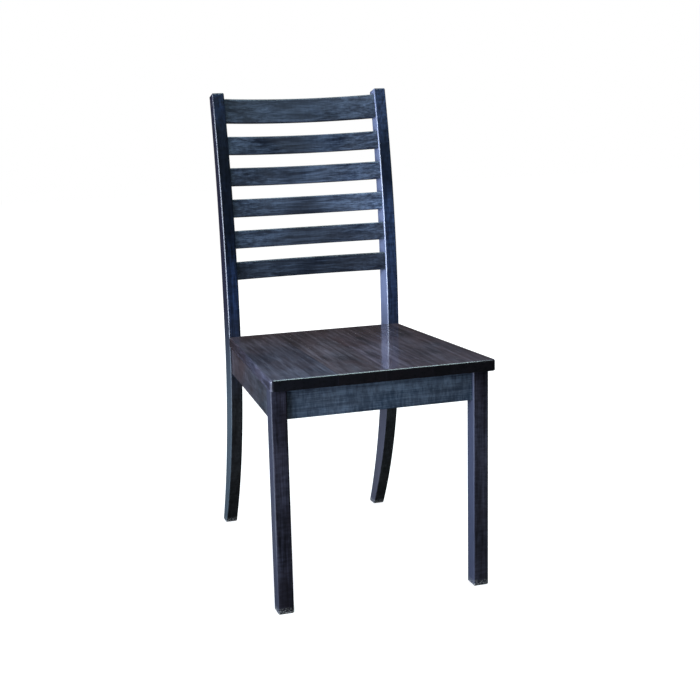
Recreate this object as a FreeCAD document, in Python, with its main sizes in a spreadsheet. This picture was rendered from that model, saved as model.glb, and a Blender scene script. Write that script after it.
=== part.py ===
import FreeCAD, Part

import math
import os
import re

import Sketcher

# Ladderback dining chair: two sawn swept posts, six bowed slats, two square front legs,
# an apron frame with corner blocks, and a plank seat.
# Millimetres, +Z up, the chair faces -Y, left is -X.
# The origin is on the floor, in the middle of the chair's length and width.

doc = FreeCAD.newDocument("LadderbackChair")
sheet = doc.addObject("Spreadsheet::Sheet", "Sizes")

# Driving sizes, each written once
SIZES = {
    # Seat
    "seat_height": 457,
    "seat_thickness": 22,
    "seat_depth": 438,
    "seat_tail": 6.5,
    "board_width": 92,
    "front_overhang": 22,
    "side_overhang": 6,
    "seat_corner_round": 8,
    "seat_top_round": 4,
    "seat_under_round": 2,
    "notch_clearance": 0.2,
    # Front legs
    "leg_spread": 429,
    "leg_size": 31,
    # Rear posts
    "post_spread": 388,
    "post_thickness": 26,
    "post_depth": 46,
    "foot_depth": 28,
    "top_depth": 28.5,
    "heel_setback": 120,
    "heel_bend_rise": 15,
    "crest_bend_rise": 75,
    "back_radius": 2280,
    "post_top_margin": 12,
    # Arrises of the posts and legs
    "leg_round": 3,
    "foot_ease": 2,
    "post_ease": 1.8,
    # Slats
    "first_slat_rise": 143.6,
    "slat_height": 38,
    "slat_gap": 28.6,
    "top_slat_height": 51,
    "top_slat_gap": 29.6,
    "slat_thickness": 11,
    "slat_setback": 4,
    "slat_bow": 18.5,
    "slat_ease": 1.5,
    "slat_tenon_thickness": 7,
    "slat_tenon_length": 12,
    "slat_tenon_shoulder": 3,
    # Aprons
    "apron_height": 60,
    "apron_thickness": 20,
    "apron_round": 2,
    "front_apron_setback": 6,
    "rear_apron_setback": 2,
    "side_apron_front_inset": 2,
    "side_apron_rear_inset": 4,
    "tenon_thickness": 9,
    "tenon_cheek": 3,
    "tenon_shoulder": 6,
    "side_tenon_length": 14,
    "tenon_wall": 2,
    # Corner blocks and screws
    "block_height": 40,
    "block_gap": 12,
    "block_width": 34,
    "screw_diameter": 4,
    "screw_head_diameter": 8,
    "screw_head_height": 2.5,
    "screw_bite": 10,
    "screw_cover": 5,
    "screw_offset": 7,
    "seat_screw_bite": 12,
    "seat_screw_cover": 8,
}
for row, (name, number) in enumerate(SIZES.items(), start=1):
    sheet.set(f"A{row}", name)
    sheet.set(f"B{row}", str(number))
    sheet.setAlias(f"B{row}", name)
doc.recompute()

SLATS = 6
BOARDS = 4
BLADE = 1.0      # how far a cutting shape runs past the wood it cuts away
CLOSE = 1e-3     # lengths and volumes that differ by less than this count as the same


def size(text):
    """Expression with each size name in it pointed at the sheet."""
    return re.sub(r"[a-z_]+", lambda word: "Sizes." + word[0] if word[0] in SIZES else word[0], text)


def value(expression):
    """Number that an expression on the sheet gives."""
    result = sheet.evalExpression(expression)
    return float(getattr(result, "Value", result))


# Places that follow from the sizes, as expressions.
# They are measured from the front face of the posts at the seat, which is y = 0 in every piece.
POST_FACE = size("(seat_depth - heel_setback - foot_depth) / 2")
SEAT_UNDER = size("(seat_height - seat_thickness)")
APRON_BOTTOM = f"({SEAT_UNDER} - {size('apron_height')})"
LEG_FACE = size("(front_overhang - seat_depth)")
LEG_BACK = f"({LEG_FACE} + {size('leg_size')})"
LEG_OUTSIDE = size("(leg_spread / 2)")
LEG_INSIDE = size("(leg_spread / 2 - leg_size)")
POST_OUTSIDE = size("(post_spread / 2)")
POST_INSIDE = size("(post_spread / 2 - post_thickness)")

# Lower sweep of the posts: both edges leave the seat plumb and reach the foot
FRONT_HEEL_RADIUS = f"(({SEAT_UNDER} ^ 2 + {size('heel_setback ^ 2')})" \
    f" / {size('(2 * heel_setback)')})"
HEEL_BEND = f"({SEAT_UNDER} + {size('heel_bend_rise')})"
HEEL_BACK = size("(heel_setback + foot_depth)")
HEEL_SWEEP = size("(heel_setback + foot_depth - post_depth)")
REAR_HEEL_RADIUS = f"(({HEEL_BEND} ^ 2 + {HEEL_SWEEP} ^ 2) / (2 * {HEEL_SWEEP}))"

# Upper sweep: the front edge is one arc, and lengths along it place the slats
SLAT_PITCH = size("(slat_height + slat_gap)")
TOP_SLAT_RISE = f"({size('first_slat_rise')} + {SLATS - 1} * {size('slat_height')}" \
    f" + {SLATS - 2} * {size('slat_gap')} + {size('top_slat_gap')})"
CREST_RISE = f"({TOP_SLAT_RISE} + {size('top_slat_height + post_top_margin')})"
ARC_DEGREES = f"(180 / pi / {size('back_radius')})"


def on_back(rise, depth):
    """Side-view place of a point: rise along the front arc of the back, depth square into it."""
    angle = f"({rise} * {ARC_DEGREES})"
    back = f"({size('back_radius')} - ({size('back_radius')} - ({depth})) * cos({angle}))"
    up = f"({SEAT_UNDER} + ({size('back_radius')} - ({depth})) * sin({angle}))"
    return back, up


CREST_FRONT = on_back(CREST_RISE, "0")
CREST_BACK = on_back(CREST_RISE, size("top_depth"))
CREST_BEND = f"({SEAT_UNDER} + {size('crest_bend_rise')})"
CREST_SWEEP = f"({CREST_BACK[0]} - {size('post_depth')})"
CREST_LIFT = f"({CREST_BACK[1]} - {CREST_BEND})"
REAR_CREST_RADIUS = f"(({CREST_LIFT} ^ 2 + {CREST_SWEEP} ^ 2) / (2 * {CREST_SWEEP}))"


def slat_rise(number):
    """Lowest and highest rise of a slat along the front arc; slat 1 is the deep one at the top."""
    if number == 1:
        return TOP_SLAT_RISE, f"({TOP_SLAT_RISE} + {size('top_slat_height')})"
    low = f"({size('first_slat_rise')} + {SLATS - number} * {SLAT_PITCH})"
    return low, f"({low} + {size('slat_height')})"


def signed(side, expression):
    """Expression mirrored to the left for side -1, as it is for side 1."""
    return expression if side > 0 else f"-({expression})"


def new_body(label):
    """Empty piece of the chair, set back from the chair's middle to the posts' front face."""
    body = doc.addObject("PartDesign::Body", label)
    body.Label = label
    body.setExpression("Placement.Base.y", POST_FACE)
    return body


def new_sketch(body, plane, offset="0"):
    """Sketch on an origin plane of the piece, moved along the plane's normal."""
    support = next(item for item in body.Origin.OriginFeatures if item.Role == plane)
    sketch = body.newObject("Sketcher::SketchObject", body.Label + "_sketch")
    sketch.AttachmentSupport = [(support, "")]
    sketch.MapMode = "FlatFace"
    sketch.setExpression("AttachmentOffset.Base.z", offset)
    return sketch


def arc_centre(start, end, radius):
    """Centre of the arc from start to end; a positive radius turns it anticlockwise."""
    chord = end - start
    half = chord.Length / 2
    square = FreeCAD.Vector(-chord.y, chord.x, 0).normalize()
    lift = math.sqrt(radius * radius - half * half)
    return start + chord / 2 + square * math.copysign(lift, radius)


def outline(sketch, corners, arcs=None):
    """Closed outline through corners given as pairs of expressions.

    arcs maps a corner's index to (turn, radius expression) for the stretch that leaves it:
    turn is 1 for an anticlockwise arc and -1 for a clockwise one. Other stretches are straight.
    """
    arcs = arcs or {}
    first = sketch.GeometryCount
    points = [FreeCAD.Vector(value(across), value(up), 0) for across, up in corners]
    count = len(points)
    ends = []
    for index, start in enumerate(points):
        end = points[(index + 1) % count]
        number = first + index
        if index not in arcs:
            sketch.addGeometry(Part.LineSegment(start, end), False)
            ends.append((number, 1, 2))
            continue
        turn, radius = arcs[index]
        centre = arc_centre(start, end, turn * value(radius))
        circle = Part.Circle(centre, FreeCAD.Vector(0, 0, 1), value(radius))
        low, high = (start, end) if turn > 0 else (end, start)
        angles = [math.atan2(point.y - centre.y, point.x - centre.x) for point in (low, high)]
        sketch.addGeometry(Part.ArcOfCircle(circle, angles[0], angles[1]), False)
        ends.append((number, 1, 2) if turn > 0 else (number, 2, 1))
    for index in range(count):
        number, _, last = ends[index]
        following, start, _ = ends[(index + 1) % count]
        sketch.addConstraint(Sketcher.Constraint("Coincident", number, last, following, start))
    for index, corner in enumerate(corners):
        number, start, _ = ends[index]
        for kind, expression in zip(("DistanceX", "DistanceY"), corner):
            place = Sketcher.Constraint(kind, -1, 1, number, start, value(expression))
            sketch.setExpression(f"Constraints[{sketch.addConstraint(place)}]", expression)
    for index, (_, radius) in arcs.items():
        bend = Sketcher.Constraint("Radius", first + index, value(radius))
        sketch.setExpression(f"Constraints[{sketch.addConstraint(bend)}]", radius)


def rectangle(sketch, left, low, right, high):
    """Upright rectangle between two opposite corners."""
    outline(sketch, [(left, low), (right, low), (right, high), (left, high)])


def hole(sketch, across, up, diameter):
    """Circle for a drilled hole."""
    circle = Part.Circle(FreeCAD.Vector(value(across), value(up), 0), FreeCAD.Vector(0, 0, 1), 1)
    number = sketch.addGeometry(circle, False)
    for kind, expression in (("DistanceX", across), ("DistanceY", up)):
        place = Sketcher.Constraint(kind, -1, 1, number, 3, value(expression))
        sketch.setExpression(f"Constraints[{sketch.addConstraint(place)}]", expression)
    width = Sketcher.Constraint("Diameter", number, value(diameter))
    sketch.setExpression(f"Constraints[{sketch.addConstraint(width)}]", diameter)


def pad(body, sketch, length, backwards=False):
    """Wood added from the sketch along its normal, or against it."""
    feature = body.newObject("PartDesign::Pad", body.Label + "_pad")
    feature.Profile = sketch
    feature.setExpression("Length", length)
    feature.Reversed = backwards
    doc.recompute()
    return feature


def cut(body, sketch, length, along=False):
    """Wood cut away from the sketch against its normal, or along it."""
    before = body.Shape.Volume
    feature = body.newObject("PartDesign::Pocket", body.Label + "_cut")
    feature.Profile = sketch
    feature.setExpression("Length", length)
    feature.Reversed = along
    doc.recompute()
    if not feature.Shape.Volume < before - CLOSE:
        raise RuntimeError(f"{body.Label}: a cut misses the wood")
    return feature


def middle(edge):
    """Point half way along an edge."""
    low, high = edge.ParameterRange
    return edge.valueAt((low + high) / 2)


def dressed(body, kind, label, wanted):
    """Fillet or chamfer on the edges that the test accepts, given the edge and its middle."""
    base = body.Tip
    names = [f"Edge{number}" for number, edge in enumerate(base.Shape.Edges, start=1)
             if wanted(edge, middle(edge))]
    feature = body.newObject(kind, body.Label + label)
    feature.Base = (base, names)
    return feature


def rounded(body, radius, wanted):
    """Round the wanted edges."""
    dressed(body, "PartDesign::Fillet", "_round", wanted).setExpression("Radius", radius)
    doc.recompute()


def eased(body, width, wanted):
    """Take the arris off the wanted edges with a small flat."""
    dressed(body, "PartDesign::Chamfer", "_ease", wanted).setExpression("Size", width)
    doc.recompute()


def near(one, other):
    """True where two lengths are the same."""
    return abs(one - other) < CLOSE


# Aprons: places shared with the legs, the posts and the corner blocks
FRONT_APRON_FACE = f"({LEG_FACE} + {size('front_apron_setback')})"
FRONT_APRON_BACK = f"({FRONT_APRON_FACE} + {size('apron_thickness')})"
REAR_APRON_FACE = size("rear_apron_setback")
REAR_APRON_BACK = size("(rear_apron_setback + apron_thickness)")
TENON_LOW = f"({APRON_BOTTOM} + {size('tenon_shoulder')})"
TENON_HIGH = f"({SEAT_UNDER} - {size('tenon_shoulder')})"
CHEEK = size("((apron_thickness - tenon_thickness) / 2)")
SIDE_TENON_ROOM = size("(tenon_cheek + tenon_thickness + tenon_wall)")
FRONT_TENON_LENGTH = f"({size('leg_size - side_apron_front_inset')} - {SIDE_TENON_ROOM})"
REAR_TENON_LENGTH = f"({size('post_thickness - side_apron_rear_inset')} - {SIDE_TENON_ROOM})"

# Side aprons run from the back of the leg to the front of the post, closing in towards the back
SIDE_FRONT = f"({LEG_OUTSIDE} - {size('side_apron_front_inset')})"
SIDE_REAR = f"({POST_OUTSIDE} - {size('side_apron_rear_inset')})"
SIDE_SLOPE = f"(({SIDE_FRONT} - {SIDE_REAR}) / -{LEG_BACK})"
SIDE_WIDTH = f"({size('apron_thickness')} * sqrt(1 + {SIDE_SLOPE} ^ 2))"


def heel_line(drop):
    """Front face of the posts at a drop below the underside of the seat."""
    return f"({FRONT_HEEL_RADIUS} - sqrt({FRONT_HEEL_RADIUS} ^ 2 - ({drop}) ^ 2))"


def side_outer(along):
    """Outer face of a side apron at a place along it."""
    return f"({SIDE_REAR} - ({along}) * {SIDE_SLOPE})"


def side_inner(along):
    """Inner face of a side apron at a place along it."""
    return f"({side_outer(along)} - {SIDE_WIDTH})"


def side_tenon(face):
    """Outer and inner cheek of a side apron's tenon, which starts at an outer face."""
    outer = f"({face} - {size('tenon_cheek')})"
    return outer, f"({outer} - {size('tenon_thickness')})"


# Corner blocks: a straight face on each apron, clear of the leg's or post's inner corner.
# Each corner gives the apron face, the corner of the leg or post, and the way into the chair.
CORNERS = {
    "front": (FRONT_APRON_BACK, LEG_INSIDE, LEG_BACK, 1),
    "rear": (REAR_APRON_FACE, POST_INSIDE, "0", -1),
}
BLOCK_BOTTOM = f"({SEAT_UNDER} - {size('block_height')})"
BLOCK_MIDDLE = f"({SEAT_UNDER} - {size('block_height / 2')})"
LOW_SCREW = f"({BLOCK_MIDDLE} - {size('screw_offset')})"
HIGH_SCREW = f"({BLOCK_MIDDLE} + {size('screw_offset')})"
BLOCK_MID_RUN = size("(block_gap + block_width / 2)")
SCREW_LENGTH = size("(screw_bite + apron_thickness - screw_cover)")
APRON_HOLE = size("(apron_thickness - screw_cover)")
SEAT_SCREW_LENGTH = size("(seat_screw_bite + seat_thickness - seat_screw_cover)")
SEAT_HOLE = size("(seat_thickness - seat_screw_cover)")


def along_side(corner, run):
    """Place along the side apron, a run away from the corner of the leg or post."""
    _, _, post_corner, inward = CORNERS[corner]
    return f"({post_corner} + {inward} * {run})"


def block_screw_across(corner):
    """Distance of the end apron's screw from the chair's middle."""
    return f"({CORNERS[corner][1]} - {BLOCK_MID_RUN})"


def block_screw_along(corner):
    """Place of the side apron's screw along the chair."""
    return along_side(corner, BLOCK_MID_RUN)


def seat_screw_place(corner):
    """Plan place of the seat screw, half way between the block's two other screws."""
    apron_face = CORNERS[corner][0]
    across = f"(({block_screw_across(corner)} + {side_inner(block_screw_along(corner))}) / 2)"
    along = f"(({apron_face} + {block_screw_along(corner)}) / 2)"
    return across, along


def make_post(name, side):
    """Swept rear post, sawn to its side view, eased, and mortised for slats and aprons."""
    body = new_body(name)
    blank = new_sketch(body, "YZ_Plane", signed(side, POST_INSIDE))
    outline(
        blank,
        [
            (size("heel_setback"), "0"),
            (HEEL_BACK, "0"),
            (size("post_depth"), HEEL_BEND),
            (size("post_depth"), CREST_BEND),
            CREST_BACK,
            CREST_FRONT,
            ("0", SEAT_UNDER),
        ],
        {
            1: (-1, REAR_HEEL_RADIUS),
            3: (-1, REAR_CREST_RADIUS),
            5: (1, size("back_radius")),
            6: (1, FRONT_HEEL_RADIUS),
        },
    )
    pad(body, blank, size("post_thickness"), side < 0)
    eased(body, size("post_ease"), lambda edge, point: True)
    mortises = new_sketch(body, "YZ_Plane", signed(side, POST_INSIDE))
    for number in range(1, SLATS + 1):
        low, high = slat_rise(number)
        low = f"({low} + {size('slat_tenon_shoulder')})"
        high = f"({high} - {size('slat_tenon_shoulder')})"
        near_cheek, far_cheek = SLAT_TENON_CHEEKS
        outline(mortises, [on_back(low, near_cheek), on_back(low, far_cheek),
                           on_back(high, far_cheek), on_back(high, near_cheek)])
    cut(body, mortises, size("slat_tenon_length"), side > 0)
    rear_mortise = new_sketch(body, "YZ_Plane", signed(side, POST_INSIDE))
    rectangle(rear_mortise, f"({REAR_APRON_FACE} + {CHEEK})", TENON_LOW,
              f"({REAR_APRON_BACK} - {CHEEK})", TENON_HIGH)
    cut(body, rear_mortise, REAR_TENON_LENGTH, side > 0)
    side_mortise = new_sketch(body, "XZ_Plane")
    outer, inner = side_tenon(SIDE_REAR)
    rectangle(side_mortise, signed(side, inner), TENON_LOW, signed(side, outer), TENON_HIGH)
    cut(body, side_mortise, size("side_tenon_length"))
    return body


def make_front_leg(name, side):
    """Square front leg, eased, and mortised for the front and side aprons."""
    body = new_body(name)
    blank = new_sketch(body, "XY_Plane")
    rectangle(blank, signed(side, LEG_INSIDE), LEG_FACE, signed(side, LEG_OUTSIDE), LEG_BACK)
    pad(body, blank, SEAT_UNDER)
    top = value(SEAT_UNDER)
    rounded(body, size("leg_round"), lambda edge, point: near(point.z, top / 2))
    eased(body, size("foot_ease"), lambda edge, point: near(point.z, 0))
    front_mortise = new_sketch(body, "YZ_Plane", signed(side, LEG_INSIDE))
    rectangle(front_mortise, f"({FRONT_APRON_FACE} + {CHEEK})", TENON_LOW,
              f"({FRONT_APRON_BACK} - {CHEEK})", TENON_HIGH)
    cut(body, front_mortise, FRONT_TENON_LENGTH, side > 0)
    side_mortise = new_sketch(body, "XZ_Plane", f"-{LEG_BACK}")
    outer, inner = side_tenon(SIDE_FRONT)
    rectangle(side_mortise, signed(side, inner), TENON_LOW, signed(side, outer), TENON_HIGH)
    cut(body, side_mortise, size("side_tenon_length"), True)
    return body


def make_end_apron(name, face, back, inside, tenon_length, corner):
    """Front or rear apron: a straight rail between the legs or posts with a tenon at each end."""
    body = new_body(name)
    rail = new_sketch(body, "XY_Plane", APRON_BOTTOM)
    rectangle(rail, f"-{inside}", face, inside, back)
    pad(body, rail, size("apron_height"))
    bottom = value(APRON_BOTTOM)
    rounded(body, size("apron_round"), lambda edge, point: near(point.z, bottom) and near(point.x, 0))
    tenons = new_sketch(body, "XY_Plane", TENON_LOW)
    for side in (-1, 1):
        rectangle(tenons, signed(side, inside), f"({face} + {CHEEK})",
                  signed(side, f"({inside} + {tenon_length})"), f"({back} - {CHEEK})")
    pad(body, tenons, f"{TENON_HIGH} - {TENON_LOW}")
    inward = CORNERS[corner][3]
    holes = new_sketch(body, "XZ_Plane", f"-{CORNERS[corner][0]}")
    for side in (-1, 1):
        hole(holes, signed(side, block_screw_across(corner)), LOW_SCREW, size("screw_diameter"))
    cut(body, holes, APRON_HOLE, inward > 0)
    return body


def make_side_apron(name, side):
    """Side apron: angled in plan, its shoulder at the back shaped to the sweep of the post."""
    body = new_body(name)
    end = f"({heel_line(size('apron_height'))} + {BLADE})"
    rail = new_sketch(body, "XY_Plane", APRON_BOTTOM)
    outline(rail, [
        (signed(side, side_outer(LEG_BACK)), LEG_BACK),
        (signed(side, side_outer(end)), end),
        (signed(side, side_inner(end)), end),
        (signed(side, side_inner(LEG_BACK)), LEG_BACK),
    ])
    pad(body, rail, size("apron_height"))
    bottom = value(APRON_BOTTOM)
    width = value(SIDE_WIDTH)
    rounded(body, size("apron_round"),
            lambda edge, point: near(point.z, bottom) and edge.Length > 2 * width)
    # The waste behind the post's front arc, drawn on past the rail's top, bottom and end
    waste_low = f"({APRON_BOTTOM} - {BLADE})"
    waste_arc = heel_line(f"{SEAT_UNDER} - {waste_low}")
    waste_end = f"({end} + {BLADE})"
    waste = new_sketch(body, "YZ_Plane", f"-{LEG_OUTSIDE}")
    outline(
        waste,
        [
            (waste_arc, waste_low),
            (waste_end, waste_low),
            (waste_end, f"({SEAT_UNDER} + {BLADE})"),
            ("0", f"({SEAT_UNDER} + {BLADE})"),
            ("0", SEAT_UNDER),
        ],
        {4: (1, FRONT_HEEL_RADIUS)},
    )
    cut(body, waste, size("leg_spread"), True)
    tenons = new_sketch(body, "XY_Plane", TENON_LOW)
    for face, shoulder, tip in ((SIDE_FRONT, LEG_BACK, f"({LEG_BACK} - {size('side_tenon_length')})"),
                                (SIDE_REAR, "0", size("side_tenon_length"))):
        outer, inner = side_tenon(face)
        rectangle(tenons, signed(side, inner), shoulder, signed(side, outer), tip)
    pad(body, tenons, f"{TENON_HIGH} - {TENON_LOW}")
    for corner in CORNERS:
        along = block_screw_along(corner)
        depth = f"({APRON_HOLE} + {BLADE})"
        holes = new_sketch(body, "YZ_Plane", signed(side, f"({side_inner(along)} - {BLADE})"))
        hole(holes, along, HIGH_SCREW, size("screw_diameter"))
        cut(body, holes, depth, side > 0)
    return body


def make_corner_block(name, corner, side):
    """Glue block across a corner of the frame, counterbored for its three screws."""
    apron_face, post_side, post_corner, inward = CORNERS[corner]
    body = new_body(name)
    near_end = along_side(corner, size("block_gap"))
    far_end = along_side(corner, size("(block_gap + block_width)"))
    plan = new_sketch(body, "XY_Plane", BLOCK_BOTTOM)
    outline(plan, [
        (signed(side, f"({post_side} - {size('block_gap')})"), apron_face),
        (signed(side, side_inner(near_end)), near_end),
        (signed(side, side_inner(far_end)), far_end),
        (signed(side, f"({post_side} - {size('(block_gap + block_width)')})"), apron_face),
    ])
    pad(body, plan, size("block_height"))
    # Screw into the front or rear apron
    across = signed(side, block_screw_across(corner))
    shank = new_sketch(body, "XZ_Plane", f"-{apron_face}")
    hole(shank, across, LOW_SCREW, size("screw_diameter"))
    cut(body, shank, size("block_width"), inward < 0)
    head = new_sketch(body, "XZ_Plane", f"-({apron_face} + {inward} * {size('screw_bite')})")
    hole(head, across, LOW_SCREW, size("screw_head_diameter"))
    cut(body, head, size("block_width"), inward < 0)
    # Screw into the side apron
    along = block_screw_along(corner)
    shank = new_sketch(body, "YZ_Plane", signed(side, f"({side_inner(along)} + {BLADE})"))
    hole(shank, along, HIGH_SCREW, size("screw_diameter"))
    cut(body, shank, size("block_width"), side < 0)
    head = new_sketch(body, "YZ_Plane", signed(side, f"({side_inner(along)} - {size('screw_bite')})"))
    hole(head, along, HIGH_SCREW, size("screw_head_diameter"))
    cut(body, head, size("block_width"), side < 0)
    # Screw up into the seat
    across, along = seat_screw_place(corner)
    shank = new_sketch(body, "XY_Plane", SEAT_UNDER)
    hole(shank, signed(side, across), along, size("screw_diameter"))
    cut(body, shank, size("block_height"))
    head = new_sketch(body, "XY_Plane", f"({SEAT_UNDER} - {size('seat_screw_bite')})")
    hole(head, signed(side, across), along, size("screw_head_diameter"))
    cut(body, head, size("block_height"))
    return body


# Slats: the ends stand a little behind the posts' front face, the middle bows back
SLAT_HALF = POST_INSIDE
SLAT_RADIUS = f"(({SLAT_HALF} ^ 2 + {size('slat_bow ^ 2')}) / {size('(2 * slat_bow)')})"
SLAT_BACK_RADIUS = f"({SLAT_RADIUS} + {size('slat_thickness')})"
SLAT_CENTRE = f"({size('slat_setback')} - ({SLAT_RADIUS} - {size('slat_bow')}))"
SLAT_BACK_END = f"({SLAT_CENTRE} + sqrt({SLAT_BACK_RADIUS} ^ 2 - {SLAT_HALF} ^ 2))"
SLAT_CHEEK = f"(({SLAT_BACK_END} - {size('slat_setback + slat_tenon_thickness')}) / 2)"
SLAT_TENON_CHEEKS = (f"({size('slat_setback')} + {SLAT_CHEEK})", f"({SLAT_BACK_END} - {SLAT_CHEEK})")


def make_slat(number):
    """Bowed slat, square to the raked back at its own height, with a straight tenon at each end."""
    body = new_body(f"back_slat_{number}")
    low, high = slat_rise(number)
    height = f"({high} - {low})"
    angle = f"(({low} + {high}) / 2 * {ARC_DEGREES})"
    body.Placement = FreeCAD.Placement(FreeCAD.Vector(), FreeCAD.Rotation(FreeCAD.Vector(-1, 0, 0), 1))
    body.setExpression("Placement.Rotation.Angle", angle)
    body.setExpression("Placement.Base.y", f"{POST_FACE} + {size('back_radius')} * (1 - cos({angle}))")
    body.setExpression("Placement.Base.z", f"{SEAT_UNDER} + {size('back_radius')} * sin({angle})")
    bow = new_sketch(body, "XY_Plane", f"-{height} / 2")
    outline(
        bow,
        [
            (f"-{SLAT_HALF}", size("slat_setback")),
            (SLAT_HALF, size("slat_setback")),
            (SLAT_HALF, SLAT_BACK_END),
            (f"-{SLAT_HALF}", SLAT_BACK_END),
        ],
        {0: (-1, SLAT_RADIUS), 2: (1, SLAT_BACK_RADIUS)},
    )
    pad(body, bow, height)
    half = value(SLAT_HALF)
    eased(body, size("slat_ease"), lambda edge, point: near(point.x, 0) and edge.Length > half)
    shoulder = size("slat_tenon_shoulder")
    tenons = new_sketch(body, "XY_Plane", f"{shoulder} - {height} / 2")
    for side in (-1, 1):
        rectangle(tenons, signed(side, SLAT_HALF), SLAT_TENON_CHEEKS[0],
                  signed(side, f"({SLAT_HALF} + {size('slat_tenon_length')})"), SLAT_TENON_CHEEKS[1])
    pad(body, tenons, f"{height} - 2 * {shoulder}")
    return body


# Seat: four boards edge to edge, the outer two shaped at the corner and notched round the posts
SEAT_FRONT = size("-seat_depth")
SEAT_FRONT_SIDE = f"({LEG_OUTSIDE} + {size('side_overhang')})"
NOTCH_SIDE = f"({POST_INSIDE} - {size('notch_clearance')})"


def make_seat_board(number):
    """Board of the seat, counted from the left; the outer two run past the legs."""
    body = new_body(f"seat_board_{number}")
    side = -1 if number <= BOARDS / 2 else 1
    outermost = number in (1, BOARDS)
    plan = new_sketch(body, "XY_Plane", SEAT_UNDER)
    tail = size("seat_tail")
    if outermost:
        seam = size("board_width")
        outline(plan, [(signed(side, across), along) for across, along in (
            (seam, SEAT_FRONT),
            (SEAT_FRONT_SIDE, SEAT_FRONT),
            (POST_OUTSIDE, "0"),
            (NOTCH_SIDE, "0"),
            (NOTCH_SIDE, tail),
            (seam, tail),
        )])
    else:
        rectangle(plan, "0", SEAT_FRONT, signed(side, size("board_width")), tail)
    pad(body, plan, size("seat_thickness"))
    top = value(size("seat_height"))
    under = value(SEAT_UNDER)
    front = value(SEAT_FRONT)
    back = value(tail)
    side_middle = (value(SEAT_FRONT_SIDE) + value(POST_OUTSIDE)) / 2
    if outermost:
        front_corner = value(SEAT_FRONT_SIDE)
        rounded(body, size("seat_corner_round"),
                lambda edge, point: near(abs(point.x), front_corner) and near(point.y, front))

    def outer_edge(point):
        """True on the front, side and back edges of the seat, and on the rounded front corner."""
        at_side = abs(point.x) > side_middle - CLOSE and point.y < 0
        return near(point.y, front) or near(point.y, back) or at_side

    rounded(body, size("seat_top_round"), lambda edge, point: near(point.z, top) and outer_edge(point))
    rounded(body, size("seat_under_round"),
            lambda edge, point: near(point.z, under) and outer_edge(point))
    for corner in CORNERS:
        across, along = seat_screw_place(corner)
        if (value(across) > value(size("board_width"))) == outermost:
            holes = new_sketch(body, "XY_Plane", SEAT_UNDER)
            hole(holes, signed(side, across), along, size("screw_diameter"))
            cut(body, holes, SEAT_HOLE, True)
    return body


def screw(length):
    """Wood screw along +Z, the flat under its head at z = 0 and its end at the length."""
    shank = value(size("screw_diameter")) / 2
    head = value(size("screw_head_diameter")) / 2
    neck = value(size("screw_head_height"))
    profile = Part.makePolygon([FreeCAD.Vector(across, 0, up) for across, up in (
        (0, -neck), (head, -neck), (head, 0), (shank, 0), (shank, length), (0, length), (0, -neck),
    )])
    return Part.Face(profile).revolve(FreeCAD.Vector(), FreeCAD.Vector(0, 0, 1), 360)


def make_screws(label, screws):
    """One piece that groups like screws, each given as (place, direction, length)."""
    solids = []
    for place, direction, length in screws:
        turn = FreeCAD.Rotation(FreeCAD.Vector(0, 0, 1), direction)
        solid = screw(length)
        solid.Placement = FreeCAD.Placement(place, turn)
        solids.append(solid)
    piece = doc.addObject("Part::Feature", label)
    piece.Label = label
    piece.Shape = Part.makeCompound(solids)
    piece.Placement = FreeCAD.Placement(FreeCAD.Vector(0, value(POST_FACE), 0), FreeCAD.Rotation())
    return piece


def block_screws():
    """Two screws in each corner block: one into the end apron, one into the side apron."""
    screws = []
    bite = value(size("screw_bite"))
    for corner, (apron_face, _, _, inward) in CORNERS.items():
        for side in (-1, 1):
            head = value(apron_face) + inward * bite
            place = FreeCAD.Vector(side * value(block_screw_across(corner)), head, value(LOW_SCREW))
            screws.append((place, FreeCAD.Vector(0, -inward, 0), value(SCREW_LENGTH)))
            along = block_screw_along(corner)
            head = value(side_inner(along)) - bite
            place = FreeCAD.Vector(side * head, value(along), value(HIGH_SCREW))
            screws.append((place, FreeCAD.Vector(side, 0, 0), value(SCREW_LENGTH)))
    return screws


def seat_screws():
    """One screw up through each corner block into the seat."""
    screws = []
    height = value(SEAT_UNDER) - value(size("seat_screw_bite"))
    for corner in CORNERS:
        across, along = (value(place) for place in seat_screw_place(corner))
        for side in (-1, 1):
            place = FreeCAD.Vector(side * across, along, height)
            screws.append((place, FreeCAD.Vector(0, 0, 1), value(SEAT_SCREW_LENGTH)))
    return screws


SIDES = {"left": -1, "right": 1}
pieces = []
for word, side in SIDES.items():
    pieces.append(make_post(f"rear_post_{word}", side))
    pieces.append(make_front_leg(f"front_leg_{word}", side))
    pieces.append(make_side_apron(f"side_apron_{word}", side))
    for corner in CORNERS:
        pieces.append(make_corner_block(f"corner_block_{corner}_{word}", corner, side))
pieces.append(make_end_apron("front_apron", FRONT_APRON_FACE, FRONT_APRON_BACK,
                             LEG_INSIDE, FRONT_TENON_LENGTH, "front"))
pieces.append(make_end_apron("rear_apron", REAR_APRON_FACE, REAR_APRON_BACK,
                             POST_INSIDE, REAR_TENON_LENGTH, "rear"))
for number in range(1, SLATS + 1):
    pieces.append(make_slat(number))
for number in range(1, BOARDS + 1):
    pieces.append(make_seat_board(number))
pieces.append(make_screws("corner_block_screws", block_screws()))
pieces.append(make_screws("seat_screws", seat_screws()))
doc.recompute()

for item in doc.Objects:
    if "Invalid" in item.State or "Error" in item.State:
        raise RuntimeError(f"{item.Label}: {item.State}")
for piece in pieces:
    if piece.Shape.isNull() or not piece.Shape.isValid():
        raise RuntimeError(f"{piece.Label}: no valid shape")

os.makedirs("parts", exist_ok=True)
for piece in pieces:
    piece.Shape.exportStep(f"parts/{piece.Label}.step")
    box = piece.Shape.BoundBox
    print(f"{piece.Label:28s} {len(piece.Shape.Solids)} solids {piece.Shape.Volume / 1000:8.1f} cm3"
          f"  {box.XLength:6.1f} x {box.YLength:6.1f} x {box.ZLength:6.1f} mm")
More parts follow.
